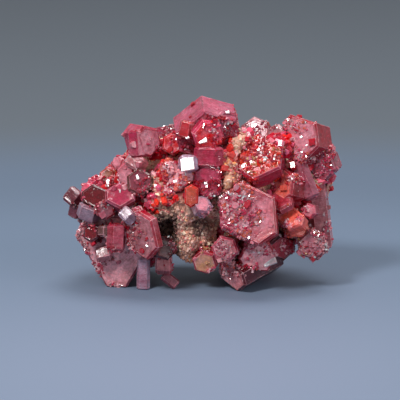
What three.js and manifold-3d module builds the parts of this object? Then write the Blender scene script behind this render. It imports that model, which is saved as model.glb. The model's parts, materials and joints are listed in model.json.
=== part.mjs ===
// Vanadinite on matrix: six-sided red crystals seated in a lump of rock.
// Millimetres, +Z up, -Y is the front. The origin is the middle of the specimen's footprint, on the floor.
import * as THREE from "three";
import { mergeVertices } from "three/addons/utils/BufferGeometryUtils.js";
import Module from "manifold-3d";

const wasm = await Module();
wasm.setup();

const DEG = Math.PI / 180;
const GAP = 0.3; // clearance between a crystal and whatever it is seated in or grows against
const EDGE_BEVEL = 0.28; // narrow pyramid faces between the ends and the sides of a crystal
const ROCK_ROUGHNESS = 0.13; // relief of the rock's lumps, as a part of their radius
const ROCK_FACET = 5; // about the longest edge on a rock lump's surface

// Colours of the crystals and the rock.
const MAUVE = "#96696e";
const LILAC = "#a58796";
const MAGENTA = "#b4466e";
const CRIMSON = "#961423";
const RED = "#c3191e";
const SALMON = "#be5a50";
const ORANGE = "#af462d";
const DRUSE_PINK = "#cd6e78";
const PALE_PINK = "#c39691";
const MAROON = "#4c1018";
const ROCK = "#a5825f";

// A crystal is given by the middle of its showing face [x, y, z], and the way that face looks:
// [azimuth, elevation] in degrees, where azimuth 0 looks to the front and 90 to the right.
//   plate(at, look, turn, sides, deep): the face is the six-sided end. sides is the distance from the
//     middle to each of the six edges, or one number for all of them, and turn is where the first one is.
//   column(at, look, lean, width, length, thick): the face is one of the six long sides. lean is the
//     angle of the crystal's axis in that face, 90 upright.
function plate(at, look, turn, sides, deep) {
  const all = Array.isArray(sides) ? sides : Array(6).fill(sides);
  return { at, look, turn, sides: all, deep, lying: false };
}

function column(at, look, lean, width, length, thick) {
  const front = thick / 2;
  const slanting = (width * Math.sqrt(3)) / 4 + front / 2;
  const sides = [slanting, front, slanting, slanting, front, slanting];
  return { at, look, turn: 30, sides, deep: length, lean, lying: true, front };
}

// The clusters, each one solid. Earlier ones grew first, and later ones grew against them.
const CLUSTERS = [
  ["lower_left_plate", MAUVE, [plate([-16.6, -6.3, 8.15], [-12, -3], -90, [8.1, 6.8, 5, 5, 5.6, 4.3], 3.6)]],
  ["left_front_plate", MAUVE, [plate([-10.6, -12, 11.2], [-45, -6], 12, [3.6, 3.8, 4.1, 4, 4, 4.1], 1.5)]],
  ["centre_plate", DRUSE_PINK, [plate([8.8, -13, 15.3], [-8, 18], 6, [4.4, 4.2, 5.3, 5.1, 4.4, 5.6], 3.6)]],
  ["top_front_hexagon", RED, [plate([1.5, -9, 28.4], [14, -6], 20, 2.5, 3.4)]],
  ["top_crimson_block", CRIMSON, [column([-2.7, -8.6, 29.4], [-20, 6], 80, 1.4, 2.8, 2)]],
  ["top_crystal", MAGENTA, [
    plate([1.2, -7, 28], [5, -18], 12, [5.5, 4.4, 4, 5.2, 4.4, 4.4], 6),
    plate([4.7, -7, 30.2], [32, -2], 15, [2.2, 2, 2.2, 2.4, 2, 2.2], 3.6),
  ]],
  ["upper_left_crystal", MAGENTA, [
    plate([-9.2, -5.5, 27], [30, 5], 14, [2.1, 2.1, 2.3, 1.9, 2.9, 2.4], 5.4),
    column([-11.8, -6.4, 26.4], [-24, 4], 96, 1.5, 4.6, 2.2),
  ]],
  ["top_right_crystal", PALE_PINK, [
    plate([18.2, -5, 27], [-35, 18], 20, [3.1, 3.4, 5.2, 3.2, 3.9, 3.3], 5.2),
  ]],
  ["red_druse_plate", RED, [plate([10, -8, 24.3], [-12, 36], 0, [4.4, 3.8, 3.8, 4.6, 3.8, 3.8], 4.2)]],
  ["far_right_plate", CRIMSON, [plate([21.8, -5, 22], [-22, -4], 20, [2.3, 2.2, 2.4, 2.2, 2.3, 2.2], 3.4)]],
  ["right_prism", MAROON, [column([21.7, -4, 12.9], [20, 2], 97, 2.6, 12.6, 4.6)]],
  ["tip_crystal", MAROON, [plate([5.7, -9, 2.75], [-50, -16], 5, [3.2, 2.3, 2.8, 3.2, 2.3, 2.8], 9.6)]],
  ["mauve_crystal", MAUVE, [plate([10.5, -9.5, 6.4], [10, -4], 30, [2.8, 2.6, 3, 3.2, 2.6, 2.7], 5)]],
  ["red_brown_crystal", CRIMSON, [plate([14.8, -6.5, 7.4], [24, -8], 8, [2.4, 2, 2.2, 2.4, 2, 2.2], 4.2)]],
  ["small_right_hexagon", CRIMSON, [plate([20.1, -9, 8.4], [-6, 5], 12, 2.25, 3.6)]],
  ["centre_prism", MAGENTA, [
    column([1.2, -11.4, 24.9], [-10, 6], 90, 3, 3.2, 3.4),
    plate([1.2, -11.2, 20.5], [-14, 4], 0, [2.2, 2.6, 2.6, 2.2, 2.6, 2.6], 4),
  ]],
  ["magenta_plate", MAGENTA, [plate([-14.3, -9.5, 17.7], [5, 30], 0, [2.6, 2, 2, 2.4, 2, 2], 3)]],
  ["pink_plate", PALE_PINK, [plate([-13.2, -6, 19.8], [-30, 10], 15, [1.6, 2.6, 2.6, 1.6, 2.6, 2.6], 3)]],
  ["brown_druse_crystal", MAUVE, [plate([-10.8, -9, 20], [0, 20], 5, 2, 3.6)]],
  ["dark_left_block", MAROON, [
    column([-23.2, -3.6, 16.3], [-22, 22], 58, 2, 2.7, 2.4),
    column([-22.9, -3.2, 13.4], [-30, -8], 72, 1.5, 2.6, 2.4),
  ]],
  ["maroon_block", CRIMSON, [plate([-18.8, -8, 17.1], [-12, 20], 8, [2.2, 1.8, 2, 2.2, 1.8, 2], 3.2)]],
  ["lilac_block", LILAC, [column([-20.2, -8.6, 14], [-12, -8], 72, 2.3, 2.6, 2.6)]],
  ["left_edge_block", CRIMSON, [plate([-16.8, -9.6, 15.1], [12, 12], 0, 1.5, 3)]],
  ["bright_rhomb", LILAC, [column([-13.2, -12, 14.9], [-18, 28], 52, 1.8, 2, 2.4)]],
  ["brown_cube", MAROON, [column([-16.4, -9.9, 11.2], [15, 15], 80, 1.6, 1.8, 2.2)]],
  ["dark_brown_block", MAROON, [plate([-19.5, -8.6, 10.5], [-20, 15], 5, 1.3, 2.4)]],
  ["pale_tab", PALE_PINK, [column([-17.5, -8.3, 7], [-5, 30], 15, 1.6, 2.4, 1.6)]],
  ["crimson_wedge", CRIMSON, [column([-14.6, -10.8, 10.2], [20, 8], 84, 1.7, 4.4, 2.4)]],
  ["standing_prism", LILAC, [column([-10.3, -8, 2.85], [-6, 4], 90, 1.3, 5.4, 1.3)]],
  ["fallen_prism", LILAC, [column([-5.4, -7.5, 1.7], [0, 20], -38, 1, 2.9, 1.1)]],
  ["tan_pink_block", PALE_PINK, [column([-6.6, -9, 5], [-4, 8], 0, 2.2, 2.6, 2.6)]],
  ["brown_grey_crystal", MAROON, [plate([-6.2, -9.4, 8], [24, 8], 10, 1.8, 3.6)]],
  ["ridge_crimson", CRIMSON, [
    plate([-20.6, -2, 17.5], [-30, 30], 0, 0.9, 2.4),
    plate([-18.9, -1.5, 18.6], [-15, 40], 10, 1.2, 3.2),
  ]],
  ["ridge_orange", ORANGE, [plate([-16.8, -1, 19.5], [0, 20], 5, 1.2, 3)]],
  ["ridge_red", RED, [plate([-15.4, -3.5, 18.8], [10, 15], 25, 1.1, 3)]],
  ["ridge_tip", SALMON, [plate([-15, -1, 22.1], [-40, 30], 0, 1.1, 3)]],
  ["grey_square", LILAC, [column([-11.7, -7, 23.4], [-14, 20], 60, 2.3, 2.4, 2.6)]],
  ["white_square", PALE_PINK, [column([-2.3, -11.6, 24.3], [-15, 30], 88, 2.1, 2.2, 2.4)]],
  ["middle_red_cluster", RED, [
    plate([-4.2, -10, 20.6], [-20, 20], 10, 1.5, 3.4),
    plate([-6, -9.2, 22.2], [-40, 10], 25, 1.3, 3),
    plate([-2.4, -10.6, 21.2], [15, -5], 0, 1.3, 3),
    plate([-5.4, -9.6, 18.8], [10, 35], 40, 1.1, 2.8),
  ]],
  ["red_orange_block", RED, [plate([-4.9, -5, 26.2], [-10, 15], 0, 1.7, 3.4)]],
  ["orange_hexagon", ORANGE, [plate([-1.5, -12.2, 18.1], [-5, 6], 0, [1, 1.6, 1.7, 1.1, 1.7, 1.6], 2.6)]],
  ["grey_lilac_block", LILAC, [plate([0.4, -12.4, 16.7], [12, 30], 20, 1.4, 2.6)]],
  ["top_knob", SALMON, [
    plate([9.9, -0.5, 27.6], [-15, 30], 10, 2.4, 4.4),
    plate([13.4, -2, 27.4], [-50, 25], 0, 1.6, 3.4),
  ]],
  ["inner_red_crystal", RED, [
    plate([14.4, -7.5, 19], [-48, 18], 10, 2.8, 3.6),
    plate([14, -9.2, 16.6], [-35, 55], 20, [2.4, 1.6, 2.4, 2.6, 1.6, 2.2], 1.4),
  ]],
  ["inner_salmon_crystal", SALMON, [
    plate([16.1, -9.7, 13.6], [-30, 38], 0, [2.4, 1.7, 2.1, 2.6, 1.7, 2.1], 2.2),
    plate([17.8, -8.4, 11.2], [24, 12], 20, [1.8, 1.2, 1.6, 1.8, 1.2, 1.6], 2.6),
  ]],
  ["salmon_bar", PALE_PINK, [column([18.3, -7, 20], [-25, 14], -60, 1.5, 7, 2.2)]],
  ["pale_pink_block", PALE_PINK, [plate([19.4, -8, 14.5], [-20, 10], 15, 1.1, 2.6)]],
  ["sparkly_hexagon", DRUSE_PINK, [plate([4.4, -12, 8.4], [-8, 8], 20, 2, 3.4)]],
  ["bottom_hexagon", ORANGE, [plate([0.8, -9, 5.2], [-5, -12], 15, 1.9, 3.4)]],
  ["back_left_plate", MAGENTA, [
    plate([-12, 11, 16], [165, 10], 10, [4.6, 4.2, 4.6, 4.6, 4, 4.4], 4.4),
    plate([-14.6, 11.4, 19.2], [190, 30], 20, 1.9, 3.4),
    plate([-8.8, 12.6, 12.8], [150, -10], 5, 1.7, 3.4),
  ]],
  ["back_top_plate", CRIMSON, [
    plate([3, 12.4, 21], [186, 22], 0, [5, 4.6, 4.8, 5, 4.4, 4.8], 4.6),
    plate([8.4, 10.4, 24.4], [150, 40], 15, 2.1, 3.6),
  ]],
  ["back_right_plate", MAGENTA, [
    plate([15, 11, 18], [150, 2], 18, [4.2, 3.8, 4.4, 4.2, 4, 4], 4.4),
    plate([18.2, 9, 13.6], [130, -15], 0, 1.9, 3.6),
  ]],
  ["back_middle_plate", MAUVE, [
    plate([-2.5, 12.5, 11], [178, -6], 22, [3.4, 3.8, 3.6, 3.2, 3.8, 3.6], 4.2),
    plate([1.4, 12.6, 13.8], [160, 15], 10, 1.5, 3.2),
  ]],
  ["back_low_plate", MAUVE, [plate([9, 12, 8.5], [160, -12], 0, [4, 3.6, 4, 4.2, 3.8, 3.6], 4.4)]],
  ["back_upper_crystal", RED, [
    plate([-6.4, 5.6, 25.8], [200, 50], 12, 3, 4.4),
    plate([-10.4, 6.4, 23.4], [215, 35], 0, 1.8, 3.2),
  ]],
  ["left_back_crystal", MAUVE, [plate([-21, 4, 12.4], [-110, 4], 5, 3.4, 4.6)]],
  ["right_back_crystal", CRIMSON, [
    plate([22.3, 4, 20], [105, 8], 15, 3.2, 4.8),
    plate([21.4, 6, 24.6], [120, 35], 5, 1.9, 3.6),
  ]],
  ["low_left_back_plate", MAUVE, [plate([-14, 9.5, 6.5], [190, -18], 0, 3.4, 4)]],
  ["underside_plate", MAROON, [plate([-4, 2, 4.4], [0, -75], 10, 2.2, 3.4)]],
];

// The rock is a heap of lumps: middle [x, y, z] and half sizes [x, y, z].
const ROCK_LUMPS = [
  [[-3.5, -1.5, 14.5], [8, 8.4, 8.4]],
  [[6, 0, 17], [10, 8.6, 8.6]],
  [[-13, 1.5, 14], [7.6, 7.4, 6.6]],
  [[15.5, 0.5, 17], [7.6, 7.2, 8]],
  [[1, 2, 23.5], [7.6, 6.4, 5.4]],
  [[-9, 1, 20.5], [6, 5.6, 5.6]],
  [[17, 1, 22.5], [5.4, 5, 5]],
  [[10, 1, 8.5], [7, 7.4, 6]],
  [[-12.5, 2, 7], [6, 6, 5.4]],
  [[-1.5, -4.5, 9], [4.4, 4.4, 4.4]],
  [[8, 7, 4.5], [5.4, 4.6, 6.2]],
  [[5, -7.4, 20.6], [2.2, 4.2, 5.4]],
  [[6.4, -4.6, 25.4], [2.6, 3.4, 3]],
  [[14, -3.6, 24.2], [1.9, 3.6, 3.6]],
];

// Natural holes in the rock, in the same form.
const HOLLOWS = [
  [[-6, -10.4, 9.8], [1.8, 6.6, 4]],
  [[0, -9.6, 10.8], [1.4, 2.4, 1.9]],
  [[-8.4, -9.4, 14.6], [1.1, 2.8, 1.1]],
];

function solidOf(geometry) {
  const bare = geometry.clone();
  bare.deleteAttribute("normal");
  bare.deleteAttribute("uv");
  const merged = mergeVertices(bare, 1e-5);
  const vertProperties = new Float32Array(merged.attributes.position.array);
  const triVerts = new Uint32Array(merged.index.array);
  return new wasm.Manifold(new wasm.Mesh({ numProp: 3, vertProperties, triVerts }));
}

function geometryOf(solid) {
  const mesh = solid.getMesh();
  const geometry = new THREE.BufferGeometry();
  geometry.setAttribute("position", new THREE.BufferAttribute(mesh.vertProperties, 3));
  geometry.setIndex(new THREE.BufferAttribute(mesh.triVerts, 1));
  geometry.computeVertexNormals();
  return geometry;
}

function joined(solids) {
  return solids.reduce((sum, solid) => sum.add(solid));
}

function biggestBody(solid) {
  const bodies = solid.decompose();
  return bodies.reduce((big, body) => (body.volume() > big.volume() ? body : big));
}

// Corners of a hexagon with 120 degree corners whose edges are at the given distances from its middle.
function hexagon(sides, turn) {
  const corners = sides.map((side, i) => {
    const angle = (turn + 60 * i) * DEG;
    const next = sides[(i + 1) % 6];
    const along = (next - side / 2) / Math.sin(60 * DEG);
    const x = side * Math.cos(angle) - along * Math.sin(angle);
    const y = side * Math.sin(angle) + along * Math.cos(angle);
    return new THREE.Vector2(x, y);
  });
  return new THREE.Shape(corners);
}

// A crystal's own frame: x to the right in its showing face, y up in that face, z out of it.
function faceFrame({ at, look }) {
  const [azimuth, elevation] = look.map((angle) => angle * DEG);
  const right = new THREE.Vector3(Math.cos(azimuth), Math.sin(azimuth), 0);
  const out = new THREE.Vector3(
    Math.sin(azimuth) * Math.cos(elevation),
    -Math.cos(azimuth) * Math.cos(elevation),
    Math.sin(elevation),
  );
  const up = new THREE.Vector3().crossVectors(out, right);
  return new THREE.Matrix4().makeBasis(right, up, out).setPosition(...at);
}

// One crystal. With grow, it is the plain block a little larger all round that cuts its socket in
// whatever it is seated in.
function crystalSolid(crystal, grow = 0) {
  const { sides, turn, deep, lying } = crystal;
  const outline = hexagon(sides.map((side) => side + grow), turn);
  const length = deep + 2 * grow;
  const bevel = grow > 0 ? 0 : Math.min(EDGE_BEVEL, Math.min(...sides) / 4);
  const prism = new THREE.ExtrudeGeometry(outline, {
    depth: length - 2 * bevel,
    bevelEnabled: bevel > 0,
    bevelThickness: bevel,
    bevelSize: bevel,
    bevelOffset: -bevel,
    bevelSegments: 1,
  });
  prism.translate(0, 0, bevel + grow - length);
  if (lying) {
    prism.translate(0, -crystal.front, deep / 2);
    prism.rotateX(90 * DEG);
    prism.rotateZ((crystal.lean + 90) * DEG);
  }
  prism.applyMatrix4(faceFrame(crystal));
  return solidOf(prism);
}

// Low bumps that turn a smooth ball into a rock lump, the same at every run.
function relief(v, seed) {
  const broad = Math.sin(2.1 * v.x + seed) * Math.cos(2.7 * v.y - seed) + Math.sin(3.1 * v.z + 2 * seed);
  const fine = Math.sin(6.3 * v.x - seed) * Math.sin(5.2 * v.y + 1.7 * seed) * Math.cos(5.9 * v.z);
  return 1 + ROCK_ROUGHNESS * (broad + 0.9 * fine);
}

function rockLump([middle, half], seed) {
  const steps = Math.max(1, Math.round(Math.max(...half) / ROCK_FACET));
  const ball = new THREE.IcosahedronGeometry(1, steps);
  const position = ball.attributes.position;
  const point = new THREE.Vector3();
  for (let i = 0; i < position.count; i += 1) {
    point.fromBufferAttribute(position, i);
    point.multiplyScalar(relief(point, seed));
    position.setXYZ(i, ...point);
  }
  ball.scale(...half);
  ball.translate(...middle);
  return solidOf(ball);
}

// Everything below the floor, which the rock's foot is cut flat on.
function floorSolid() {
  const floor = new THREE.BoxGeometry(100, 100, 40);
  floor.translate(0, 0, -20);
  return solidOf(floor);
}

const grown = [];
for (const [name, colour, crystals] of CLUSTERS) {
  const whole = joined(crystals.map((crystal) => crystalSolid(crystal)));
  const free = grown.reduce((rest, neighbour) => rest.subtract(neighbour.socket), whole);
  const socket = joined(crystals.map((crystal) => crystalSolid(crystal, GAP)));
  grown.push({ name, colour, solid: biggestBody(free), socket });
}

const cutters = [floorSolid(), ...HOLLOWS.map(rockLump), ...grown.map(({ socket }) => socket)];
const heap = joined(ROCK_LUMPS.map(rockLump));
const matrixSolid = biggestBody(cutters.reduce((rest, cutter) => rest.subtract(cutter), heap));

const specimen = new THREE.Group();

function addPiece(name, solid, color, roughness) {
  const material = new THREE.MeshStandardMaterial({ color, roughness, metalness: 0 });
  const mesh = new THREE.Mesh(geometryOf(solid), material);
  mesh.name = name;
  specimen.add(mesh);
}

addPiece("matrix", matrixSolid, ROCK, 0.9);
for (const { name, colour, solid } of grown) {
  addPiece(name, solid, colour, 0.25);
}

const box = new THREE.Box3().setFromObject(specimen);
const middle = box.getCenter(new THREE.Vector3());
specimen.position.set(-middle.x, -middle.y, -box.min.z);

export default specimen;
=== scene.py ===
import json
import math
import random
import bpy
import bmesh
import numpy as np
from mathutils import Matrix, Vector, noise
from mathutils.bvhtree import BVHTree


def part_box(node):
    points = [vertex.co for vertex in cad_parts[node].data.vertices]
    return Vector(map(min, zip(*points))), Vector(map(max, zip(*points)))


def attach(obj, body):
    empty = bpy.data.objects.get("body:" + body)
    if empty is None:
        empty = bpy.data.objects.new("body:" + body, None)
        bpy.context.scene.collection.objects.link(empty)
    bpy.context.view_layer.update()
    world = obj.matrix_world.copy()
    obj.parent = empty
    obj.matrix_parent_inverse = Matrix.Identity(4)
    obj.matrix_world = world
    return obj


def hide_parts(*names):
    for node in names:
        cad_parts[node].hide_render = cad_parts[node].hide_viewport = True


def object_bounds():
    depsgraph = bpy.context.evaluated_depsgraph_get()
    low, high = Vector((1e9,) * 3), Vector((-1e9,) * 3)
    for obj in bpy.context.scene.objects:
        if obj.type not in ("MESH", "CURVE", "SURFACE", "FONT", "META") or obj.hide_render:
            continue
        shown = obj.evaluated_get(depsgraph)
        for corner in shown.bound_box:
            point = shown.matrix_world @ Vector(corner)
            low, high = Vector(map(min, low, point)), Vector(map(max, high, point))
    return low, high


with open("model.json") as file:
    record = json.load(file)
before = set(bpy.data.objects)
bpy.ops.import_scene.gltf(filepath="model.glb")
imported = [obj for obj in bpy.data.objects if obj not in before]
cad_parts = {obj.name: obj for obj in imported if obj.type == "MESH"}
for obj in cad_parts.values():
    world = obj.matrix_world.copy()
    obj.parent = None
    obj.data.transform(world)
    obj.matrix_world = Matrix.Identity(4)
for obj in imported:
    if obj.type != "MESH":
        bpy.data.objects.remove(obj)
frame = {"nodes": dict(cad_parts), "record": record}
cadBox = [list(corner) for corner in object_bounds()]
mm = 0.001
lowCorner, highCorner = (Vector(corner) for corner in cadBox)
tallness = highCorner.z - lowCorner.z
heart = Vector((0, 0, 0.47 * tallness))  # middle of the rock, which crystals grow away from
slotOf = {part["node"]: part["material_slot"] for part in frame["record"]["subparts"]}
crystalNames = sorted(name for name in slotOf if name != "matrix")


studio = {
    "distance": 0.45,
    "elevation": 12,
    "lens": 222.7,
    "aimShift": (-0.00038, 0.0003),
    "aimHeight": 0.431,  # of the specimen's height
    "floorRadius": 2.5,
    "paintedLightSpot": 0.06,  # metres in front of the specimen: the middle of the pool of light painted on the floor
    "floorPaintedLightTones": [  # metres from the middle of the painted pool of light, colour; the floor is painted lighter near it and darker further out
        (0.0, (0.184, 0.222, 0.306)),
        (0.10, (0.128, 0.172, 0.243)),
        (0.155, (0.108, 0.145, 0.204)),
        (0.23, (0.106, 0.125, 0.147)),
        (0.50, (0.106, 0.125, 0.147)),
        (1.0, (0.90, 0.90, 0.92)),  # far away it runs into the sky
    ],
    "skyColour": (0.94, 0.96, 1.0),
    "skyStrength": 0.42,
    "shine": (-0.230, -0.834, 0.501),  # a face that looks this way mirrors the key lamp to the front
    "shineTurn": (1.9, 0, 1.6),  # how much it turns for each metre away from the middle
}

softboxes = {  # place, size, power, colour
    "keyBox": ((-0.25, -0.34, 0.45), 0.13, 2.9, (1, 1, 1)),
    "fillBox": ((0.42, -0.30, 0.22), 0.3, 0.7, (0.95, 0.97, 1)),
    "topBox": ((0.05, 0.12, 0.5), 0.25, 1.5, (1, 1, 1)),
}


def aimAt(thing, target):
    look = Vector(target) - thing.location
    thing.rotation_euler = look.to_track_quat("-Z", "Y").to_euler()


def addCamera():
    lens = bpy.data.cameras.new("studioCamera")
    lens.lens = studio["lens"]
    lens.sensor_width = 36
    lens.clip_start = 0.01
    eye = bpy.data.objects.new("studioCamera", lens)
    bpy.context.scene.collection.objects.link(eye)
    lift = math.radians(studio["elevation"])
    target = Vector((*studio["aimShift"], studio["aimHeight"] * tallness))
    away = Vector((0, -math.cos(lift), math.sin(lift)))
    eye.location = target + away * studio["distance"]
    aimAt(eye, target)
    bpy.context.scene.camera = eye


def addSoftbox(name, place, size, power, colour):
    lamp = bpy.data.lights.new(name, "AREA")
    lamp.shape = "SQUARE"
    lamp.size = size
    lamp.energy = power
    lamp.color = colour
    box = bpy.data.objects.new(name, lamp)
    bpy.context.scene.collection.objects.link(box)
    box.location = place
    aimAt(box, heart)


def addStudio():
    world = bpy.data.worlds.new("softRoom")
    bpy.context.scene.world = world
    world.use_nodes = True
    sky = world.node_tree.nodes["Background"]
    sky.inputs["Color"].default_value = (*studio["skyColour"], 1)
    sky.inputs["Strength"].default_value = studio["skyStrength"]
    for name, settings in softboxes.items():
        addSoftbox(name, *settings)
    bpy.ops.mesh.primitive_circle_add(vertices=96, radius=studio["floorRadius"], fill_type="NGON")
    floor = bpy.context.object
    floor.name = "floor"
    floor.data.materials.append(floorPaint())
    bpy.context.scene.view_settings.view_transform = "Standard"


def nodesOf(material):
    material.use_nodes = True
    tree = material.node_tree
    return tree, tree.nodes["Principled BSDF"]


def floorPaint():
    paint = bpy.data.materials.new("floorPaint")
    tree, skin = nodesOf(paint)
    place = tree.nodes.new("ShaderNodeTexCoord")
    shift = tree.nodes.new("ShaderNodeVectorMath")
    shift.inputs[1].default_value = (0, studio["paintedLightSpot"], 0)
    reach = tree.nodes.new("ShaderNodeVectorMath")
    reach.operation = "LENGTH"
    # painted pool of light: the floor colour follows the distance from a spot in front of the specimen
    ramp = tree.nodes.new("ShaderNodeValToRGB")
    ramp.color_ramp.interpolation = "EASE"
    tree.links.new(place.outputs["Object"], shift.inputs[0])
    tree.links.new(shift.outputs[0], reach.inputs[0])
    tree.links.new(reach.outputs["Value"], ramp.inputs[0])
    stops = ramp.color_ramp.elements
    for stop in range(len(studio["floorPaintedLightTones"]) - 2):
        stops.new(0.5)
    for stop, (distance, colour) in zip(stops, studio["floorPaintedLightTones"]):
        stop.position = distance
        stop.color = (*colour, 1)
    tree.links.new(ramp.outputs["Color"], skin.inputs["Base Color"])
    skin.inputs["Roughness"].default_value = 0.6
    skin.inputs["Specular IOR Level"].default_value = 0.2
    return paint


addCamera()
addStudio()
print("studio ready")


tones = {  # the body colours that the crystals are made of; the pale mauve, lilac and pale pink ones are partly painted sheen, the lilac reflection of the pale room on lit faces mixed into the colour
    "paleMauve": "#a86468",
    "mauve": "#964656",
    "lilac": "#a08496",
    "milky": "#e0d0d0",
    "shell": "#e09a9f",
    "palePink": "#c87481",
    "pink": "#c0425a",
    "rose": "#b44863",
    "magenta": "#b02247",
    "crimson": "#a00c24",
    "deepCrimson": "#6a0614",
    "red": "#c81018",
    "orangeRed": "#d22a12",
    "orange": "#be4828",
    "salmon": "#cc5442",
    "tan": "#b88058",
    "brown": "#703c34",
    "maroon": "#4c0814",
}

slotLooks = {  # end faces, long sides
    "mauve_vanadinite": ("paleMauve", "deepCrimson"),
    "magenta_vanadinite": ("magenta", "crimson"),
    "crimson_vanadinite": ("crimson", "deepCrimson"),
    "red_vanadinite": ("red", "crimson"),
    "orange_vanadinite": ("salmon", "red"),
    "pink_vanadinite": ("pink", "crimson"),
    "maroon_vanadinite": ("maroon", "maroon"),
}

# Where one crystal differs. zone is the tone towards the rim of its end faces, light makes its tones lighter,
# cover is how much druse it has, mix the tones of that druse, bare the way to its side without any, frost
# its dullness, and offshoots how many small crystals stand on it, for each square millimetre.
crystalLooks = {
    "lower_left_plate": dict(
        end="shell", side="mauve", zone="paleMauve", light=0.9, cover=0.1, frost=0.8, bare=(0.8, 0, 0.1),
        offshoots=0.03),
    "left_front_plate": dict(
        end="paleMauve", side="crimson", zone="paleMauve", cover=0.5, bare=(0.7, -0.7, -0.3), offshoots=0.08),
    "centre_plate": dict(
        end="palePink", side="crimson", zone="salmon", light=0.95, cover=0.8, bare=(1.9, 0, 0.2),
        offshoots=0.15, mix=("magenta", "pink", "palePink", "salmon", "shell", "milky")),
    "top_front_hexagon": dict(end="red", side="magenta", zone="pink", light=1.3, cover=0.15, offshoots=0.25),
    "top_crimson_block": dict(end="crimson", side="red", light=0.85, cover=0.1),
    "top_crystal": dict(
        end="crimson", side="rose", zone="magenta", light=0.9, cover=0.5, bare=(-0.5, 0, 0.6), offshoots=0.2,
        mix=("crimson", "red", "crimson", "pink", "shell", "milky")),
    "upper_left_crystal": dict(
        end="palePink", side="magenta", zone="magenta", light=0.93, cover=0.12, offshoots=0.08),
    "top_right_crystal": dict(
        end="palePink", side="crimson", zone="salmon", light=0.93, cover=0.5, bare=(0.2, 0, 0.7)),
    "red_druse_plate": dict(
        end="orangeRed", side="magenta", zone="tan", cover=0.8, offshoots=0.2,
        mix=("crimson", "orangeRed", "tan", "red", "crimson", "milky")),
    "far_right_plate": dict(
        end="crimson", side="mauve", zone="lilac", cover=0.7, offshoots=0.05,
        mix=("crimson", "magenta", "palePink", "pink", "rose", "milky")),
    "right_prism": dict(end="mauve", side="paleMauve", zone="mauve", light=1.3, cover=0.3, frost=0.3),
    "tip_crystal": dict(
        end="shell", side="maroon", zone="salmon", cover=0.45, bare=(0.8, 0, -1.2), frost=0.1,
        offshoots=0.02),
    "mauve_crystal": dict(
        end="shell", side="crimson", zone="palePink", light=1.1, cover=0.15, offshoots=0.05),
    "red_brown_crystal": dict(end="crimson", side="maroon", light=1.2, cover=0.15, frost=0),
    "small_right_hexagon": dict(
        end="palePink", side="mauve", zone="tan", light=0.75, cover=0.9, offshoots=0.1),
    "centre_prism": dict(
        end="crimson", side="magenta", light=1.1, cover=0.8, bare=(0, 0, 1.2), offshoots=0.1),
    "magenta_plate": dict(end="magenta", side="rose", light=0.85, cover=0.12, frost=0.1),
    "pink_plate": dict(end="palePink", side="pink", cover=0.2, offshoots=0.1),
    "brown_druse_crystal": dict(
        end="mauve", side="brown", zone="crimson", light=0.85, cover=0.6, frost=0, offshoots=0.2),
    "dark_left_block": dict(end="crimson", side="mauve", light=0.55, cover=0.05, frost=0, offshoots=0.05),
    "maroon_block": dict(
        end="deepCrimson", side="maroon", zone="deepCrimson", cover=0.1, frost=0, offshoots=0.1),
    "lilac_block": dict(end="mauve", side="lilac", light=0.75, cover=0.03),
    "left_edge_block": dict(end="mauve", side="crimson", light=0.7, cover=0.2),
    "bright_rhomb": dict(end="mauve", side="lilac", light=0.8, cover=0, frost=0.6),
    "brown_cube": dict(end="brown", side="brown", light=0.6, cover=0.05),
    "dark_brown_block": dict(end="deepCrimson", side="maroon", light=1.1, cover=0.4, frost=0),
    "pale_tab": dict(end="lilac", side="paleMauve", light=0.65, cover=0, frost=1),
    "crimson_wedge": dict(end="crimson", side="pink", light=0.75, cover=0.3),
    "standing_prism": dict(end="lilac", side="lilac", zone="lilac", light=1.2, cover=0, offshoots=0),
    "fallen_prism": dict(end="lilac", side="mauve", light=0.8, cover=0, offshoots=0),
    "tan_pink_block": dict(end="palePink", side="paleMauve", light=1.2, cover=0.1),
    "brown_grey_crystal": dict(end="brown", side="maroon", light=0.6, cover=0.2, frost=0),
    "ridge_crimson": dict(end="pink", side="pink", light=1.2, cover=0.3),
    "ridge_orange": dict(end="tan", side="orange", light=0.7, cover=0.2),
    "ridge_red": dict(end="crimson", side="red", light=0.9, cover=0.2),
    "ridge_tip": dict(end="palePink", side="palePink", light=1.1, cover=0.2),
    "grey_square": dict(end="palePink", side="paleMauve", light=1.2, cover=0, frost=1),
    "white_square": dict(end="lilac", side="lilac", light=1.3, cover=0, frost=0),
    "middle_red_cluster": dict(end="salmon", side="shell", zone="pink", light=1.2, cover=1, offshoots=0.4),
    "red_orange_block": dict(end="red", side="red", zone="red", light=1.1, cover=0.2),
    "orange_hexagon": dict(end="orange", side="orangeRed", zone="orange", cover=0, frost=0.1, offshoots=0),
    "grey_lilac_block": dict(end="palePink", side="lilac", zone="lilac", light=1.2, cover=0.05),
    "top_knob": dict(end="palePink", side="shell", zone="salmon", light=0.55, cover=0.3, frost=0.5),
    "inner_red_crystal": dict(end="salmon", side="crimson", zone="palePink", light=1.1, cover=0.25),
    "inner_salmon_crystal": dict(end="salmon", side="salmon", zone="palePink", light=1.3, cover=0.25),
    "salmon_bar": dict(end="mauve", side="mauve", cover=0.15),
    "pale_pink_block": dict(end="palePink", side="pink", cover=0.05),
    "sparkly_hexagon": dict(end="shell", side="pink", zone="palePink", light=0.8, cover=0.9, offshoots=0.1),
    "bottom_hexagon": dict(end="tan", side="crimson", zone="tan", light=1.2, cover=0.4),
    "back_upper_crystal": dict(end="rose", side="magenta", zone="crimson", light=0.65),
    "underside_plate": dict(cover=0.1, offshoots=0),
}


def linear(colour):  # "#rrggbb" as the light values that the shader wants
    parts = [int(colour[k:k + 2], 16) / 255 for k in (1, 3, 5)]
    return np.array([part / 12.92 if part < 0.04 else ((part + 0.055) / 1.055) ** 2.4 for part in parts])


def looksOf(name):
    end, side = slotLooks[slotOf[name]]
    looks = dict(end=end, side=side, zone="crimson", light=1, cover=0.35, frost=0.4)
    looks.update(bare=(0, 0, 0), offshoots=0.15)
    looks.update(crystalLooks.get(name, {}))
    return looks


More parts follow.
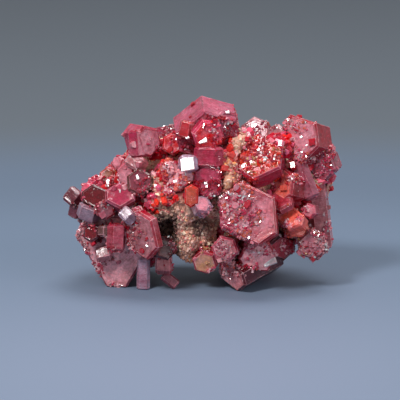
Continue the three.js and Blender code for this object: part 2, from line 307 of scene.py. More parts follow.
def makeGroup(name, inputs, outputs):
    group = bpy.data.node_groups.new(name, "ShaderNodeTree")
    for label, kind, value in inputs:
        socket = group.interface.new_socket(label, in_out="INPUT", socket_type=kind)
        socket.default_value = value
    for label, kind in outputs:
        group.interface.new_socket(label, in_out="OUTPUT", socket_type=kind)
    return group, group.nodes.new("NodeGroupInput"), group.nodes.new("NodeGroupOutput")


def addNoise(tree, scale, detail, roughness=0.55):
    place = tree.nodes.new("ShaderNodeTexCoord")
    cloud = tree.nodes.new("ShaderNodeTexNoise")
    cloud.inputs["Scale"].default_value = scale
    cloud.inputs["Detail"].default_value = detail
    cloud.inputs["Roughness"].default_value = roughness
    tree.links.new(place.outputs["Object"], cloud.inputs["Vector"])
    return cloud.outputs["Fac"]


def addRange(tree, source, low, high, outLow=0.0, outHigh=1.0):
    span = tree.nodes.new("ShaderNodeMapRange")
    span.inputs["From Min"].default_value = low
    span.inputs["From Max"].default_value = high
    span.inputs["To Min"].default_value = outLow
    span.inputs["To Max"].default_value = outHigh
    tree.links.new(source, span.inputs["Value"])
    return span.outputs["Result"]


def feed(tree, socket, source):
    if isinstance(source, (tuple, list)):
        socket.default_value = (*source, 1)
    elif isinstance(source, (int, float)):
        socket.default_value = source
    else:
        tree.links.new(source, socket)


def addMix(tree, factor, first, second, blend="MIX"):
    mix = tree.nodes.new("ShaderNodeMix")
    mix.data_type = "RGBA"
    mix.blend_type = blend
    for socket, source in zip((mix.inputs[0], mix.inputs[6], mix.inputs[7]), (factor, first, second)):
        feed(tree, socket, source)
    return mix.outputs[2]


def addMath(tree, operation, first, second):
    node = tree.nodes.new("ShaderNodeMath")
    node.operation = operation
    for socket, source in zip(node.inputs, (first, second)):
        feed(tree, socket, source)
    return node.outputs[0]


def addAttribute(tree, name, output="Fac"):
    node = tree.nodes.new("ShaderNodeAttribute")
    node.attribute_name = name
    return node.outputs[output]


def addBump(tree, skin, height, strength, distance):
    bump = tree.nodes.new("ShaderNodeBump")
    bump.inputs["Strength"].default_value = strength
    bump.inputs["Distance"].default_value = distance
    tree.links.new(height, bump.inputs["Height"])
    tree.links.new(bump.outputs["Normal"], skin.inputs["Normal"])


def growthLines(group, growth):  # thin bands along a side, or hexagons on an end
    lines = group.nodes.new("ShaderNodeTexNoise")
    lines.noise_dimensions = "1D"
    lines.inputs["Scale"].default_value = 1.0
    lines.inputs["Detail"].default_value = 4
    lines.inputs["Roughness"].default_value = 0.7
    group.links.new(growth, lines.inputs["W"])
    return lines.outputs["Fac"]


crystalSkin = {
    "deep": (0.50, 0.10, 0.16),  # multiplies the body colour where a crystal is thick and clear
    "pale": (0.84, 0.38, 0.46),  # what frosting tends to
    "rim": (0.85, 0.40, 0.46),  # paler edges: partly chipped, partly a painted edge highlight
    # colour of the painted sparkle: tiny pale specks on the frosted patches
    "paintedSparkle": (0.88, 0.62, 0.64),
    "relief": 0.07,  # mm, of growth lines and frosting
    "reliefStrength": 0.7,
    "lightBend": 1.55,
    "glow": 0.45,  # how much of the light goes into the crystal and comes out beside
    "glowReach": 0.9,  # mm
    "glowColours": (1.0, 0.12, 0.12),
}


def crystalSkinGroup():
    colour = "NodeSocketColor"
    number = "NodeSocketFloat"
    inputs = [("Body", colour, (0.3, 0.05, 0.06, 1)), ("Frosting", number, 0.5), ("Tone", number, 0.5)]
    inputs += [("Growth", number, 0.0), ("Rim", number, 0.0)]
    outputs = [("Colour", colour), ("Roughness", number), ("Height", number)]
    group, given, result = makeGroup("crystalSkin", inputs, outputs)
    body = given.outputs["Body"]
    deep = addMix(group, 1.0, body, crystalSkin["deep"], "MULTIPLY")
    pale = addMix(group, 0.42, body, crystalSkin["pale"])
    lines = growthLines(group, given.outputs["Growth"])
    cloud = addRange(group, addNoise(group, 300, 5, 0.65), 0.36, 0.62)
    banded = addMath(group, "MULTIPLY", addRange(group, lines, 0.38, 0.62), 0.35)
    depth = addMath(group, "ADD", addMath(group, "MULTIPLY", cloud, 0.65), given.outputs["Tone"])
    depth = addMath(group, "ADD", depth, banded)
    inner = addMix(group, addRange(group, depth, 0.1, 0.95), deep, body)
    patches = addRange(group, addNoise(group, 700, 5, 0.7), 0.40, 0.62)
    frosting = addMath(group, "MULTIPLY", patches, given.outputs["Frosting"])
    skin = addMix(group, frosting, inner, pale)
    # paler bevelled edges: partly chips, partly a painted edge highlight
    rim = addMath(group, "MULTIPLY", given.outputs["Rim"], addRange(group, patches, 0, 1, 0.15, 0.6))
    edged = addMix(group, rim, skin, crystalSkin["rim"])
    flecks = addRange(group, addNoise(group, 1700, 3, 0.65), 0.36, 0.64, 0.72, 1.25)
    flecked = addMix(group, 0.8, edged, flecks, "MULTIPLY")
    # painted sparkle: tiny pale specks, more of them on the frosted patches
    sparkleNoise = addRange(group, addNoise(group, 4600, 2, 0.7), 0.64, 0.72)
    sparkleShare = addMath(group, "MULTIPLY", sparkleNoise, addRange(group, patches, 0.2, 1, 0, 0.6))
    group.links.new(addMix(group, sparkleShare, flecked, crystalSkin["paintedSparkle"]), result.inputs["Colour"])
    group.links.new(addRange(group, frosting, 0, 1, 0.09, 0.34), result.inputs["Roughness"])
    graininess = addRange(group, frosting, 0, 1, 0.1, 0.9)
    grain = addMath(group, "MULTIPLY", addNoise(group, 1900, 4, 0.7), graininess)
    ridges = addMath(group, "MULTIPLY", lines, 0.8)
    group.links.new(addMath(group, "ADD", grain, ridges), result.inputs["Height"])
    return group


def crystalFinish(slot, skinGroup):
    finish = bpy.data.materials.new(slot)
    tree, skin = nodesOf(finish)
    group = tree.nodes.new("ShaderNodeGroup")
    group.node_tree = skinGroup
    tree.links.new(addAttribute(tree, "tint", "Color"), group.inputs["Body"])
    for socket, name in (("Frosting", "frost"), ("Tone", "tone"), ("Growth", "growth"), ("Rim", "rim")):
        tree.links.new(addAttribute(tree, name), group.inputs[socket])
    addBump(tree, skin, group.outputs["Height"], crystalSkin["reliefStrength"], crystalSkin["relief"] * mm)
    tree.links.new(group.outputs["Colour"], skin.inputs["Base Color"])
    tree.links.new(group.outputs["Roughness"], skin.inputs["Roughness"])
    skin.inputs["IOR"].default_value = crystalSkin["lightBend"]
    skin.inputs["Subsurface Weight"].default_value = crystalSkin["glow"]
    skin.inputs["Subsurface Radius"].default_value = crystalSkin["glowColours"]
    skin.inputs["Subsurface Scale"].default_value = crystalSkin["glowReach"] * mm
    return finish


skinGroup = crystalSkinGroup()
finishes = {slot: crystalFinish(slot, skinGroup) for slot in sorted(slotLooks)}
print("crystal finishes ready")


crystalShape = {
    "closeGap": 0.17,  # mm that every face moves out, so that neighbours meet
    "edgeWidth": 0.06,
    "pointGap": 0.46,  # mm, the longest edge between surface points
    "waviness": 0.03,
    "stepSpacing": 1.2,  # mm between growth steps on an end face
    "stepHeight": 0.03,
    "sideSpacing": 1.6,
    "lineSpacing": 0.30,  # mm between the fine growth lines
    "zoning": 0.7,  # strength of the zone tone at the rim
    "veils": 0.15,  # strength of the cloudy lilac patches
}


def planarBody(name):
    body = bmesh.new()
    body.from_mesh(frame["nodes"][name].data)
    bmesh.ops.remove_doubles(body, verts=body.verts, dist=0.03 * mm)
    bmesh.ops.dissolve_limit(body, angle_limit=math.radians(1), verts=body.verts, edges=body.edges)
    return body


def swell(body, amount):
    moves = []
    for vert in body.verts:
        normals = np.array([face.normal for face in vert.link_faces])
        shift = np.linalg.lstsq(normals, np.full(len(normals), amount), rcond=1e-3)[0]
        reach = np.linalg.norm(shift)
        moves.append(Vector(shift * min(1, 2.2 * amount / max(reach, 1e-9))))
    for vert, move in zip(body.verts, moves):
        vert.co += move
    body.normal_update()


def crystalAxis(body):
    faces = sorted(body.faces, key=lambda face: -face.calc_area())[:14]
    parts = [(face.normal.copy(), face.calc_area()) for face in faces]

    def mismatch(axis):
        leans = [(abs(normal.dot(axis)), area) for normal, area in parts]
        return sum(area * min(lean, 1 - lean) for lean, area in leans)

    axis = min((normal for normal, area in parts), key=mismatch)
    middle = sum((face.calc_center_median() for face in faces), Vector()) / len(faces)
    outward = axis if axis.dot(middle - heart) > 0 else -axis
    sides = [part for part in parts if abs(part[0].dot(axis)) < 0.1]
    side = max(sides, key=lambda part: part[1])[0] if sides else axis.orthogonal()
    return outward.normalized(), side.normalized()


def tagFaces(body, axis, dice):
    cap = body.faces.layers.float.new("cap")
    tone = body.faces.layers.float.new("tone")
    for face in body.faces:
        face[cap] = 1.0 if abs(face.normal.dot(axis)) > 0.97 else 0.0
        face[tone] = dice.uniform(-0.05, 0.45) + 0.15 * face[cap]


def cutEdges(body, width):
    rim = body.faces.layers.float.new("rim")
    sharp = [edge for edge in body.edges if edge.is_manifold and edge.calc_face_angle() > math.radians(18)]
    made = bmesh.ops.bevel(body, geom=sharp, offset=width, offset_type="OFFSET", segments=1, profile=0.5,
                           affect="EDGES", clamp_overlap=True)
    for face in made["faces"]:
        face[rim] = 1.0


def splitFine(body, gap):
    bmesh.ops.triangulate(body, faces=body.faces)
    for lap in range(9):
        long = [edge for edge in body.edges if edge.calc_length() > gap]
        if not long:
            return
        bmesh.ops.subdivide_edges(body, edges=long, cuts=1)
        bmesh.ops.triangulate(body, faces=[face for face in body.faces if len(face.verts) > 3])


def meshObject(name, mesh):
    thing = bpy.data.objects.new(name, mesh)
    bpy.context.scene.collection.objects.link(thing)
    return thing


def readPoints(mesh):
    points = np.empty(len(mesh.vertices) * 3)
    mesh.vertices.foreach_get("co", points)
    normals = np.empty(len(mesh.vertices) * 3)
    mesh.vertices.foreach_get("normal", normals)
    return points.reshape(-1, 3), normals.reshape(-1, 3)


def writePoints(mesh, points):
    points[:, 2] = np.maximum(points[:, 2], 0.00002)
    mesh.vertices.foreach_set("co", points.ravel())
    mesh.update()


def noiseAt(points, scale, seed):
    shift = Vector((seed * 7.3, seed * 3.1, seed * 5.7))
    return np.array([noise.noise(Vector(point) * scale + shift) for point in points])


def pointValues(mesh, name):
    faces = np.empty(len(mesh.polygons))
    mesh.attributes[name].data.foreach_get("value", faces)
    corners = np.empty(len(mesh.loops), dtype=int)
    mesh.loops.foreach_get("vertex_index", corners)
    counts = np.empty(len(mesh.polygons), dtype=int)
    mesh.polygons.foreach_get("loop_total", counts)
    total = np.zeros(len(mesh.vertices))
    shares = np.zeros(len(mesh.vertices))
    np.add.at(total, corners, np.repeat(faces, counts))
    np.add.at(shares, corners, 1)
    return total / np.maximum(shares, 1)


def setValues(mesh, name, values):
    mesh.attributes.new(name, "FLOAT", "POINT").data.foreach_set("value", values)


def setTint(mesh, colours):
    layer = mesh.attributes.new("tint", "FLOAT_COLOR", "POINT")
    layer.data.foreach_set("color", np.column_stack([colours, np.ones(len(colours))]).ravel())


def blend(first, second, share):
    return first * (1 - share[:, None]) + second * share[:, None]


def steps(distance, spacing):  # flat treads with short slopes between them
    tread = distance / (spacing * mm)
    return np.floor(tread) + np.clip((tread % 1) * 6, 0, 1)


def hexagonReach(points, middle, axis, side):
    flat = (points - middle) @ np.array([side, axis.cross(side)]).T
    turns = [math.radians(60 * k) for k in range(6)]
    return np.max([flat @ np.array([math.cos(turn), math.sin(turn)]) for turn in turns], axis=0)


def crystalMesh(name, body):
    mesh = bpy.data.meshes.new(name)
    body.to_mesh(mesh)
    body.free()
    mesh.shade_smooth()
    mesh.set_sharp_from_angle(angle=math.radians(16))
    return mesh


def growthRelief(mesh, points, cap, reach, along, seed):  # how far out each point moves
    waves = noiseAt(points, 420, seed) + 0.5 * noiseAt(points, 1100, seed + 1)
    treads = cap * steps(reach, crystalShape["stepSpacing"])
    sink = treads + (1 - cap) * (steps(along, crystalShape["sideSpacing"]) % 2)
    inside = 1 - pointValues(mesh, "rim")
    return (crystalShape["waviness"] * waves - crystalShape["stepHeight"] * sink * inside) * mm


def crystalTint(points, cap, reach, looks, seed):
    zone = cap * np.clip((reach / reach[cap > 0.5].max() - 0.62) / 0.38, 0, 1) * crystalShape["zoning"]
    veil = np.clip(noiseAt(points, 330, seed + 4) * 1.8, 0, 1)
    veil *= crystalShape["veils"] * min(1, 2.5 * looks["frost"])  # clear crystals have none
    colours = blend(linear(tones[looks["side"]]), linear(tones[looks["end"]]), cap)
    colours = blend(colours, linear(tones[looks["zone"]]), zone)
    return np.clip(blend(colours, linear(tones["lilac"]), veil) * looks["light"], 0, 0.9)


def crystalPiece(name, seed):
    dice = random.Random(seed)
    looks = looksOf(name)
    body = planarBody(name)
    swell(body, crystalShape["closeGap"] * mm)
    axis, side = crystalAxis(body)
    tagFaces(body, axis, dice)
    cutEdges(body, crystalShape["edgeWidth"] * mm)
    splitFine(body, crystalShape["pointGap"] * mm)
    mesh = crystalMesh(name, body)
    points, normals = readPoints(mesh)
    cap = pointValues(mesh, "cap")
    ends = points[cap > 0.9]
    middle = ends.mean(0) if len(ends) else points.mean(0)
    wander = noiseAt(points, 500, seed) * 0.45 * mm
    reach = hexagonReach(points, middle, axis, side) + wander
    along = (points - middle) @ np.array(axis) + wander
    points += normals * growthRelief(mesh, points, cap, reach, along, seed)[:, None]
    writePoints(mesh, points)
    frost = np.clip(looks["frost"] * (0.5 + cap) + 0.4 * noiseAt(points, 330, seed + 2), 0, 1)
    setValues(mesh, "frost", frost)
    setValues(mesh, "growth", np.where(cap > 0.5, reach, along) / (crystalShape["lineSpacing"] * mm))
    setTint(mesh, crystalTint(points, cap, reach, looks, seed))
    mesh.materials.clear()
    mesh.materials.append(finishes[slotOf[name]])
    thing = meshObject(name + "_crystal", mesh)
    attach(thing, "root")
    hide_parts(name)
    return dict(thing=thing, mesh=mesh, axis=np.array(axis), side=np.array(side), looks=looks)


crystals = {name: crystalPiece(name, 11 + 3 * i) for i, name in enumerate(crystalNames)}
print("crystals ready", len(crystals), sum(len(crystal["mesh"].polygons) for crystal in crystals.values()))


rockShape = {
    "pointGap": 0.36,  # mm
    "lumpRelief": 0.5,
    "grainRelief": 0.3,
    "grainsPerArea": 10.5,  # for each square millimetre
    "grainSize": (0.09, 0.34),
}

rockTones = {
    "tan": (0.50, 0.22, 0.15),
    "pale": (0.74, 0.42, 0.33),
    "cream": (0.80, 0.60, 0.42),
    "brown": (0.16, 0.045, 0.038),
    "blush": (0.66, 0.15, 0.15),
    "amber": (0.92, 0.34, 0.12),
    "shadow": (0.045, 0.010, 0.016),
}


def solidTree():
    points, faces = [], []
    for node in frame["nodes"].values():
        start = len(points)
        points += [vert.co.copy() for vert in node.data.vertices]
        faces += [[start + k for k in polygon.vertices] for polygon in node.data.polygons]
    return BVHTree.FromPolygons(points, faces)


solids = solidTree()


def isOpen(spot, normal):  # nothing of the specimen stands close in front of it
    ray = Vector(normal)
    hit, normalThere, _, distance = solids.ray_cast(Vector(spot) + ray * 0.03 * mm, ray, 7 * mm)
    return hit is None or (distance > 0.5 * mm and normalThere.dot(ray) < 0)


def smoothBox(values, low, high, soft):
    return np.clip((values - low) / soft, 0, 1) * np.clip((high - values) / soft, 0, 1)


def bareRockAt(points):  # the front of the rock, between the plates, has hardly any crystals
    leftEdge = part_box("left_front_plate")[1][0] - 2 * mm
    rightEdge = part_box("centre_plate")[0][0] + 1 * mm
    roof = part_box("grey_lilac_block")[1][2]
    across = smoothBox(points[:, 0], leftEdge, rightEdge, 1.5 * mm)
    upward = np.clip((roof - points[:, 2]) / (3 * mm), 0, 1)
    return across * upward * (points[:, 1] < 2 * mm)


def pitAt(points):  # painted shade in the deep hole beside the front plate at the left, and a darker patch in a shallow hollow at its right
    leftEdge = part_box("left_front_plate")[1][0] - 2 * mm
    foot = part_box("brown_grey_crystal")[0][2] - 1 * mm
    across = smoothBox(points[:, 0], leftEdge, leftEdge + 5.4 * mm, 1 * mm)
    upward = smoothBox(points[:, 2], foot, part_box("left_front_plate")[1][2] - 1 * mm, 1 * mm)
    inward = np.clip((points[:, 1] + 10.4 * mm) / (1.2 * mm), 0, 1) * (points[:, 1] < 0)
    low, high = (np.array(corner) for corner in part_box("bottom_hexagon"))
    shallow = np.array([(low[0] + high[0]) / 2 - 0.8 * mm, 0, high[2] + 3.7 * mm])
    reach = np.linalg.norm((points - shallow) * np.array([1, 0, 0.8]), axis=1)
    shallowDarkening = np.clip(1.9 - reach / (1.1 * mm), 0, 0.8) * (points[:, 1] < 0)
    return np.maximum(across * upward * inward, shallowDarkening)


def amberAt(points):  # a warm seam between the middle prism and the plates at its right
    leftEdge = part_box("centre_prism")[1][0] - 1 * mm
    across = smoothBox(points[:, 0], leftEdge, leftEdge + 5 * mm, 1.2 * mm)
    upward = smoothBox(points[:, 2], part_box("centre_plate")[0][2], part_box("red_druse_plate")[1][2], 3 * mm)
    return across * upward * (points[:, 1] < 0)


def behindAt(points):
    return np.clip(points[:, 1] / (5 * mm), 0, 1)


def crustAt(points):  # how much of the rock small crystals cover
    patches = noiseAt(points, 210, 77) + 0.5 * noiseAt(points, 600, 78)
    bare = 0.95 * bareRockAt(points) + 0.15 * amberAt(points) + pitAt(points) + 0.25 * behindAt(points)
    return np.clip(0.72 + 1.3 * patches - bare, 0, 1)


def rockFinish():
    finish = bpy.data.materials.new("rock")
    tree, skin = nodesOf(finish)
    broad = addRange(tree, addNoise(tree, 300, 5, 0.65), 0.38, 0.62)
    spots = addRange(tree, addNoise(tree, 2000, 4, 0.75), 0.44, 0.60)
    pits = addRange(tree, addNoise(tree, 700, 5, 0.7), 0.54, 0.66)
    ground = addMix(tree, broad, rockTones["tan"], rockTones["pale"])
    amber = addMath(tree, "MULTIPLY", addAttribute(tree, "amber"), 0.5)
    warm = addMix(tree, amber, ground, rockTones["amber"])
    crust = addMath(tree, "MULTIPLY", addAttribute(tree, "crust"), 0.8)
    stained = addMix(tree, crust, warm, rockTones["blush"])
    dotted = addMix(tree, addMath(tree, "MULTIPLY", spots, 0.5), stained, rockTones["cream"])
    painted = addMix(tree, addMath(tree, "MULTIPLY", pits, 0.45), dotted, rockTones["brown"])
    # painted shade: the rock is darkened towards the shadow colour in the pits
    shaded = addMix(tree, addAttribute(tree, "pit"), painted, rockTones["shadow"])
    tree.links.new(shaded, skin.inputs["Base Color"])
    tree.links.new(addRange(tree, spots, 0, 1, 0.75, 0.35), skin.inputs["Roughness"])
    addBump(tree, skin, addNoise(tree, 3000, 5, 0.75), 0.9, 0.16 * mm)
    return finish


def rockPiece():
    thing = meshObject("rock", frame["nodes"]["matrix"].data.copy())
    crust = thing.modifiers.new("crust", "REMESH")
    crust.mode = "VOXEL"
    crust.voxel_size = rockShape["pointGap"] * mm
    seen = thing.evaluated_get(bpy.context.evaluated_depsgraph_get())
    mesh = bpy.data.meshes.new_from_object(seen)
    thing.modifiers.clear()
    thing.data = mesh
    mesh.shade_smooth()
    points, normals = readPoints(mesh)
    lumps = 0.5 * noiseAt(points, 260, 5) + 0.6 * noiseAt(points, 620, 6)
    grains = noiseAt(points, 1200, 7) + 0.5 * noiseAt(points, 2300, 8)
    out = rockShape["lumpRelief"] * (lumps + 0.1) + rockShape["grainRelief"] * grains
    points += normals * (out * mm)[:, None]
    writePoints(mesh, points)
    setValues(mesh, "crust", crustAt(points))
    setValues(mesh, "amber", amberAt(points))
    setValues(mesh, "pit", pitAt(points))
    mesh.materials.clear()
    mesh.materials.append(rockFinish())
    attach(thing, "root")
    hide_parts("matrix")
    return mesh


rockMesh = rockPiece()
print("rock ready", len(rockMesh.polygons))


# Small crystals and grains, joined into a few meshes.

def prismTemplate(corners, rings):  # rings are radius and height, from the foot to the top
    turns = [math.tau * (k + 0.5) / corners for k in range(corners)]
    points = [(radius * math.cos(turn), radius * math.sin(turn), z) for radius, z in rings for turn in turns]
    top = (len(rings) - 1) * corners
    faces = [tuple(range(corners - 1, -1, -1)), tuple(range(top, top + corners))]
    for ring in range(0, top, corners):
        for k in range(corners):
            after = (k + 1) % corners
            faces.append((ring + k, ring + after, ring + corners + after, ring + corners + k))
    return np.array(points), faces


templates = {
    "crumb": prismTemplate(4, [(1.1, -1), (1.1, 1)]),
    "prism": prismTemplate(6, [(1, -1), (1, 1)]),
    "block": prismTemplate(6, [(1, -1), (1, 0.76), (0.82, 1)]),
    "chip": prismTemplate(4, [(1.2, -1), (0.75, 1)]),
    "facet": prismTemplate(4, [(1.1, -1), (1.1, 0.7), (1, 1)]),
}


def newHeap():
    return {"points": [], "faces": [], "tint": [], "tone": [], "frost": []}


def addCopies(heap, kind, crop, dice, jitter=0.0):
    seats, axes, twists, sizes, colours = crop
    shape, faces = templates[kind]
    spread = twists - axes * np.sum(twists * axes, axis=1)[:, None]
    spread /= np.linalg.norm(spread, axis=1)[:, None]
    frames = np.stack([spread, np.cross(axes, spread), axes], axis=1)
    local = shape[None] * sizes[:, None, :] * (1 + dice.uniform(-jitter, jitter, (len(seats), len(shape), 1)))
    points = (np.einsum("nvk,nkc->nvc", local, frames) + seats[:, None, :]).reshape(-1, 3)
    start = sum(len(part) for part in heap["points"])
    offsets = start + np.arange(len(seats)) * len(shape)
    heap["points"].append(points)
    heap["faces"] += [tuple(int(offset) + k for k in face) for offset in offsets for face in faces]
    heap["tint"].append(np.repeat(colours, len(shape), axis=0))
    heap["tone"].append(np.repeat(dice.uniform(0.1, 0.9, len(seats)), len(shape)))
    heap["frost"].append(np.repeat(dice.uniform(0.0, 0.7, len(seats)) ** 2, len(shape)))


def addSorted(heap, crop, sorts, dice):  # sorts says which of the crop get each template
    for kind, chosen in sorts.items():
        addCopies(heap, kind, [part[chosen] for part in crop], dice)


def heapPiece(name, heap, finish):
    points = np.concatenate(heap["points"])
    points[:, 2] = np.maximum(points[:, 2], 0.00002)
    mesh = bpy.data.meshes.new(name)
    mesh.from_pydata(points.tolist(), [], heap["faces"])
    setTint(mesh, np.concatenate(heap["tint"]))
    setValues(mesh, "tone", np.concatenate(heap["tone"]))
    setValues(mesh, "frost", np.concatenate(heap["frost"]))
    mesh.materials.append(finish)
    thing = meshObject(name, mesh)
    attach(thing, "root")
    print(name, sum(len(face) - 2 for face in heap["faces"]), "triangles")


def faceSamples(mesh, density, dice):  # density is for each square millimetre
    centres = np.empty(len(mesh.polygons) * 3)
    mesh.polygons.foreach_get("center", centres)
    normals = np.empty(len(mesh.polygons) * 3)
    mesh.polygons.foreach_get("normal", normals)
    areas = np.empty(len(mesh.polygons))
    mesh.polygons.foreach_get("area", areas)
    centres, normals = centres.reshape(-1, 3), normals.reshape(-1, 3)
    weights = areas / mm ** 2 * density(centres)
    total = weights.sum()
    if total < 1:
        return np.empty((0, 3)), np.empty((0, 3))
    picks = dice.choice(len(areas), size=int(total), p=weights / total)
    spots = centres[picks] + dice.normal(scale=0.08 * mm, size=(len(picks), 3))
    free = [isOpen(spot, normal) for spot, normal in zip(spots, normals[picks])]
    return spots[free], normals[picks][free]


def crystalSizes(kind, count, dice):  # corner radii, and half widths and heights
    low, high = kind["size"]
    radii = (low + (high - low) * dice.uniform(size=count) ** kind["smallness"]) * mm
    stretch = dice.uniform(*kind["stretch"], count)
    heights = radii * dice.uniform(*kind["height"], count)
    return radii, np.stack([radii * stretch, radii / stretch, heights], axis=1)


def leaning(normals, dice, little, much, share):  # a share of the crystals leans much
    amount = np.where(dice.uniform(size=len(normals)) < share, much, little)
    axes = normals + dice.normal(size=normals.shape) * amount[:, None]
    return axes / np.linalg.norm(axes, axis=1)[:, None]


def mixedTones(names, chances, spots, dice):  # neighbours are alike, as the pick follows a cloudy pattern
    palette = np.array([linear(tones[name]) for name in names])
    count = len(spots)
    cloudy = 0.5 + 1.2 * noiseAt(spots, 300, 91) + 0.35 * noiseAt(spots, 900, 92)
    picked = (cloudy + dice.normal(scale=0.08, size=count)) % 1
    picks = np.searchsorted(np.cumsum(chances[:-1]) / sum(chances), picked)
    return palette[picks] * dice.uniform(0.85, 1.15, (count, 1))


def regionOf(middle):
    if middle[1] > 0.003:
        return "back_left" if middle[0] < 0 else "back_right"
    if middle[0] < -0.007:
        return "left"
    return "right" if middle[0] > 0.0065 else "middle"


druse = {
    "perArea": 14,  # crystals for each fully covered square millimetre
    "size": (0.08, 0.28),  # mm, corner radius
    "smallness": 2,  # more makes small ones more common
    "stretch": (0.75, 1.3),
    "height": (0.45, 1.3),  # times its radius
    "prismFrom": 0.15,  # mm, smaller ones are four-sided crumbs
    "onSides": 0.4,  # share of the cover that long sides get
    "chances": (2.5, 4, 2, 3, 3, 0.6),  # of its tones
    "wildShare": 0.25,  # of the crystals, that lean far over
    "flashShare": 0.03,  # of them, that mirror the key lamp
}

offshoot = {
    "size": (0.2, 0.75),
    "smallness": 1.6,
    "stretch": (0.8, 1.25),
    "height": (0.35, 0.8),
    "onSides": 0.25,
    "chances": (2, 4, 3, 1),
}

rockCrystal = {
    "perArea": 7,
    "size": (0.12, 0.72),
    "smallness": 2.8,
    "stretch": (0.8, 1.25),
    "height": (0.5, 2.2),
    "prismFrom": 0.16,
    "blockFrom": 0.3,
    "light": 1.45,  # times its tones
    "tones": ("orangeRed", "red", "crimson", "rose", "pink", "palePink", "shell"),
    "chances": (2, 5, 6, 1.5, 5, 3, 1.8),
}


def coverOf(crystal, seed):
    mesh, looks = crystal["mesh"], crystal["looks"]
    points = readPoints(mesh)[0]
    middle = points.mean(0)
    size = np.ptp(points, axis=0).max()
    caps = np.empty(len(mesh.polygons))
    mesh.attributes["cap"].data.foreach_get("value", caps)
    cover = looks["cover"] * (caps + druse["onSides"] * (1 - caps))

    def density(centres):
        patches = noiseAt(centres, 300, seed) + 0.5 * noiseAt(centres, 900, seed + 1)
        bareness = ((centres - middle) / size) @ np.array(looks["bare"])
        patch = np.clip(0.5 + 3.2 * (patches + cover - 0.5 - 2.0 * bareness), 0, 1)
        return patch * (cover > 0.02) * druse["perArea"]

    return density


def shineAt(spots):  # the way that a small face there looks when it mirrors the key lamp to the front
    ways = np.array(studio["shine"]) - (spots - np.array(heart)) * np.array(studio["shineTurn"])
    return ways / np.linalg.norm(ways, axis=1)[:, None]


def growDruse(heap, crystal, seed):
    dice = np.random.default_rng(seed)
    spots, normals = faceSamples(crystal["mesh"], coverOf(crystal, seed), dice)
    count = len(spots)
    if not count:
        return
    radii, sizes = crystalSizes(druse, count, dice)
    axes = leaning(normals, dice, 0.4, 1.2, druse["wildShare"])
    shine = shineAt(spots)
    flashes = (dice.uniform(size=count) < druse["flashShare"]) & (np.sum(normals * shine, axis=1) > 0.2)
    axes[flashes] = leaning(shine[flashes], dice, 0.02, 0.06, 0.5)
    end, zone = crystal["looks"]["end"], crystal["looks"]["zone"]
    mix = crystal["looks"].get("mix", ("crimson", end, zone, "pink", "shell", "milky"))
    colours = mixedTones(mix, druse["chances"], spots, dice) * crystal["looks"]["light"]
    twists = dice.normal(size=axes.shape)
    crop = (spots, axes, twists, sizes, colours)
    big = radii > druse["prismFrom"] * mm
    addSorted(heap, crop, {"prism": big, "crumb": ~big}, dice)


def growOffshoots(heap, crystal, seed):  # small crystals that stand the same way as the one they are on
    dice = np.random.default_rng(seed)
    looks = crystal["looks"]
    caps = np.empty(len(crystal["mesh"].polygons))
    crystal["mesh"].attributes["cap"].data.foreach_get("value", caps)
    share = looks["offshoots"] * (caps + offshoot["onSides"] * (1 - caps))
    spots = faceSamples(crystal["mesh"], lambda centres: share, dice)[0]
    count = len(spots)
    if not count:
        return
    sizes = crystalSizes(offshoot, count, dice)[1]
    axes = leaning(np.tile(crystal["axis"], (count, 1)), dice, 0.03, 0.25, 0.3)
    twists = np.tile(crystal["side"], (count, 1)) + dice.normal(scale=0.03, size=axes.shape)
    mix = ("crimson", looks["end"], looks["side"], "palePink")
    colours = mixedTones(mix, offshoot["chances"], spots, dice)
    square = dice.uniform(size=count) < 0.5
    addSorted(heap, (spots, axes, twists, sizes, colours), {"block": ~square, "facet": square}, dice)


def growRockCrystals(heaps):
    dice = np.random.default_rng(61)

    def density(centres):
        return crustAt(centres) ** 1.5 * rockCrystal["perArea"]

    spots, normals = faceSamples(rockMesh, density, dice)
    count = len(spots)
    radii, sizes = crystalSizes(rockCrystal, count, dice)
    axes = leaning(normals, dice, 0.45, 1.2, 0.35)
    twists = dice.normal(size=axes.shape)
    colours = mixedTones(rockCrystal["tones"], rockCrystal["chances"], spots, dice) * rockCrystal["light"]
    colours = blend(colours, linear(tones["salmon"]), 0.5 * amberAt(spots))
    colours = blend(colours, linear(tones["deepCrimson"]), 0.5 * behindAt(spots))
    crop = (spots, axes, twists, sizes, colours)
    regions = np.array([regionOf(spot) for spot in spots])
    square = dice.uniform(size=count) < 0.5
    large = radii > rockCrystal["blockFrom"] * mm
    small = radii <= rockCrystal["prismFrom"] * mm
    sorts = {"facet": large & square, "block": large & ~square, "prism": ~large & ~small, "crumb": small}
    for region, heap in heaps.items():
        addSorted(heap, crop, {kind: chosen & (regions == region) for kind, chosen in sorts.items()}, dice)


def growGrains():
    dice = np.random.default_rng(71)

    def density(centres):
        return rockShape["grainsPerArea"] * (1 - 0.8 * crustAt(centres))

    spots, normals = faceSamples(rockMesh, density, dice)
    count = len(spots)
    low, high = rockShape["grainSize"]
    radii = (low + (high - low) * dice.uniform(size=count) ** 1.7) * mm
    sizes = radii[:, None] * dice.uniform(0.6, 1.3, (count, 3))
    palette = np.array([rockTones[name] for name in ("tan", "pale", "cream", "blush", "amber", "brown")])
    warmth = amberAt(spots)
    even = np.ones(count)
    chances = np.stack([even, even, 0.7 * even, 0.5 + 0.6 * warmth, 0.1 + warmth, 0.25 - 0.2 * warmth])
    picks = (np.cumsum(chances / chances.sum(0), axis=0) > dice.uniform(size=count)).argmax(0)
    # random mottle, and painted shade in the pits
    shade = (1 + 0.8 * noiseAt(spots, 800, 93)) * (1 - 0.93 * pitAt(spots))
    colours = palette[picks] * dice.uniform(0.85, 1.4, (count, 1)) * shade[:, None]
    heap = newHeap()
    axes = leaning(normals, dice, 0.6, 0.6, 0)
    addCopies(heap, "chip", (spots, axes, dice.normal(size=axes.shape), sizes, colours), dice, 0.3)
    heapPiece("rock_grains", heap, grainFinish())


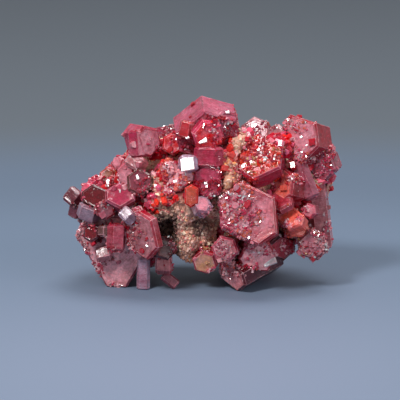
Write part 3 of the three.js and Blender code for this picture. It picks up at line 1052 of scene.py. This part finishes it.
def grainFinish():
    finish = bpy.data.materials.new("grain")
    tree, skin = nodesOf(finish)
    tint = addAttribute(tree, "tint", "Color")
    mottle = addRange(tree, addNoise(tree, 2200, 3), 0.4, 0.62, 0, 0.45)
    tree.links.new(addMix(tree, mottle, tint, rockTones["pale"]), skin.inputs["Base Color"])
    tree.links.new(addRange(tree, mottle, 0, 0.45, 0.25, 0.65), skin.inputs["Roughness"])
    skin.inputs["Subsurface Weight"].default_value = 0.2
    skin.inputs["Subsurface Radius"].default_value = (1.0, 0.5, 0.3)
    skin.inputs["Subsurface Scale"].default_value = 0.4 * mm
    return finish


brightFacets = [  # the crystal they are on, how far across and up it, and their width and height in mm
    ("white_square", 0.48, 0.52, 2.4, 2.3),
    ("top_front_hexagon", 0.40, 0.32, 1.5, 1.0),
    ("top_front_hexagon", 0.75, 0.80, 0.35, 0.25),
    ("top_crimson_block", 0.55, 0.10, 0.6, 0.6),
    ("top_crystal", 0.80, 0.80, 1.3, 0.4),
    ("top_knob", 0.25, 0.80, 1.0, 0.7),
    ("red_druse_plate", 0.24, 0.46, 0.6, 0.5),
    ("red_druse_plate", 0.34, 0.36, 0.5, 0.45),
    ("middle_red_cluster", 0.45, 0.55, 0.6, 0.5),
    ("middle_red_cluster", 0.62, 0.45, 0.5, 0.4),
    ("centre_prism", 0.38, 0.32, 0.6, 0.5),
    ("ridge_red", 0.20, 0.60, 0.7, 1.4),
    ("pink_plate", 0.80, 0.70, 0.4, 0.9),
    ("left_front_plate", 0.62, 0.28, 0.5, 0.35),
    ("mauve_crystal", 0.85, 0.30, 2.4, 1.4),
    ("right_prism", 0.72, 0.52, 0.35, 0.9),
    ("right_prism", 0.80, 0.40, 0.3, 0.5),
    ("right_prism", 0.85, 0.28, 0.3, 0.6),
    ("top_right_crystal", 0.34, 0.62, 0.45, 0.4),
    ("top_right_crystal", 0.45, 0.48, 0.35, 0.3),
    ("centre_plate", 0.30, 0.62, 0.45, 0.4),
]


def growBrightFacets(heaps):
    dice = np.random.default_rng(83)
    for node, across, up, width, height in brightFacets:
        low, high = (np.array(corner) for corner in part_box(node))
        start = low + (high - low) * np.array([across, 0, up])
        hit = solids.ray_cast(Vector(start) - Vector((0, 5 * mm, 0)), Vector((0, 1, 0)))[0]
        seat = np.array(hit if hit else start)
        half = np.array([[width, height, 0.5]]) * mm / 2 / np.array([[0.78, 0.78, 1]])
        twist = np.array([[1.0, 0.35 * dice.uniform(-1, 1), 0.2]])
        # their near-white colour, lighter than milky, is a painted highlight; their turn towards the key lamp
        # gives a real mirror glint as well
        colour = linear(tones["milky"])[None] * 1.2
        crop = (seat[None], shineAt(seat[None]), twist, half, colour)
        addCopies(heaps[regionOf(seat)], "facet", crop, dice)


heaps = {region: newHeap() for region in ("left", "middle", "right", "back_left", "back_right")}
smallFinish = crystalFinish("small_crystals", skinGroup)
for i, name in enumerate(crystalNames):
    heap = heaps[regionOf(readPoints(crystals[name]["mesh"])[0].mean(0))]
    growDruse(heap, crystals[name], 500 + i)
    growOffshoots(heap, crystals[name], 700 + i)
growRockCrystals(heaps)
growBrightFacets(heaps)
for region, heap in heaps.items():
    heapPiece("small_crystals_" + region, heap, smallFinish)
growGrains()
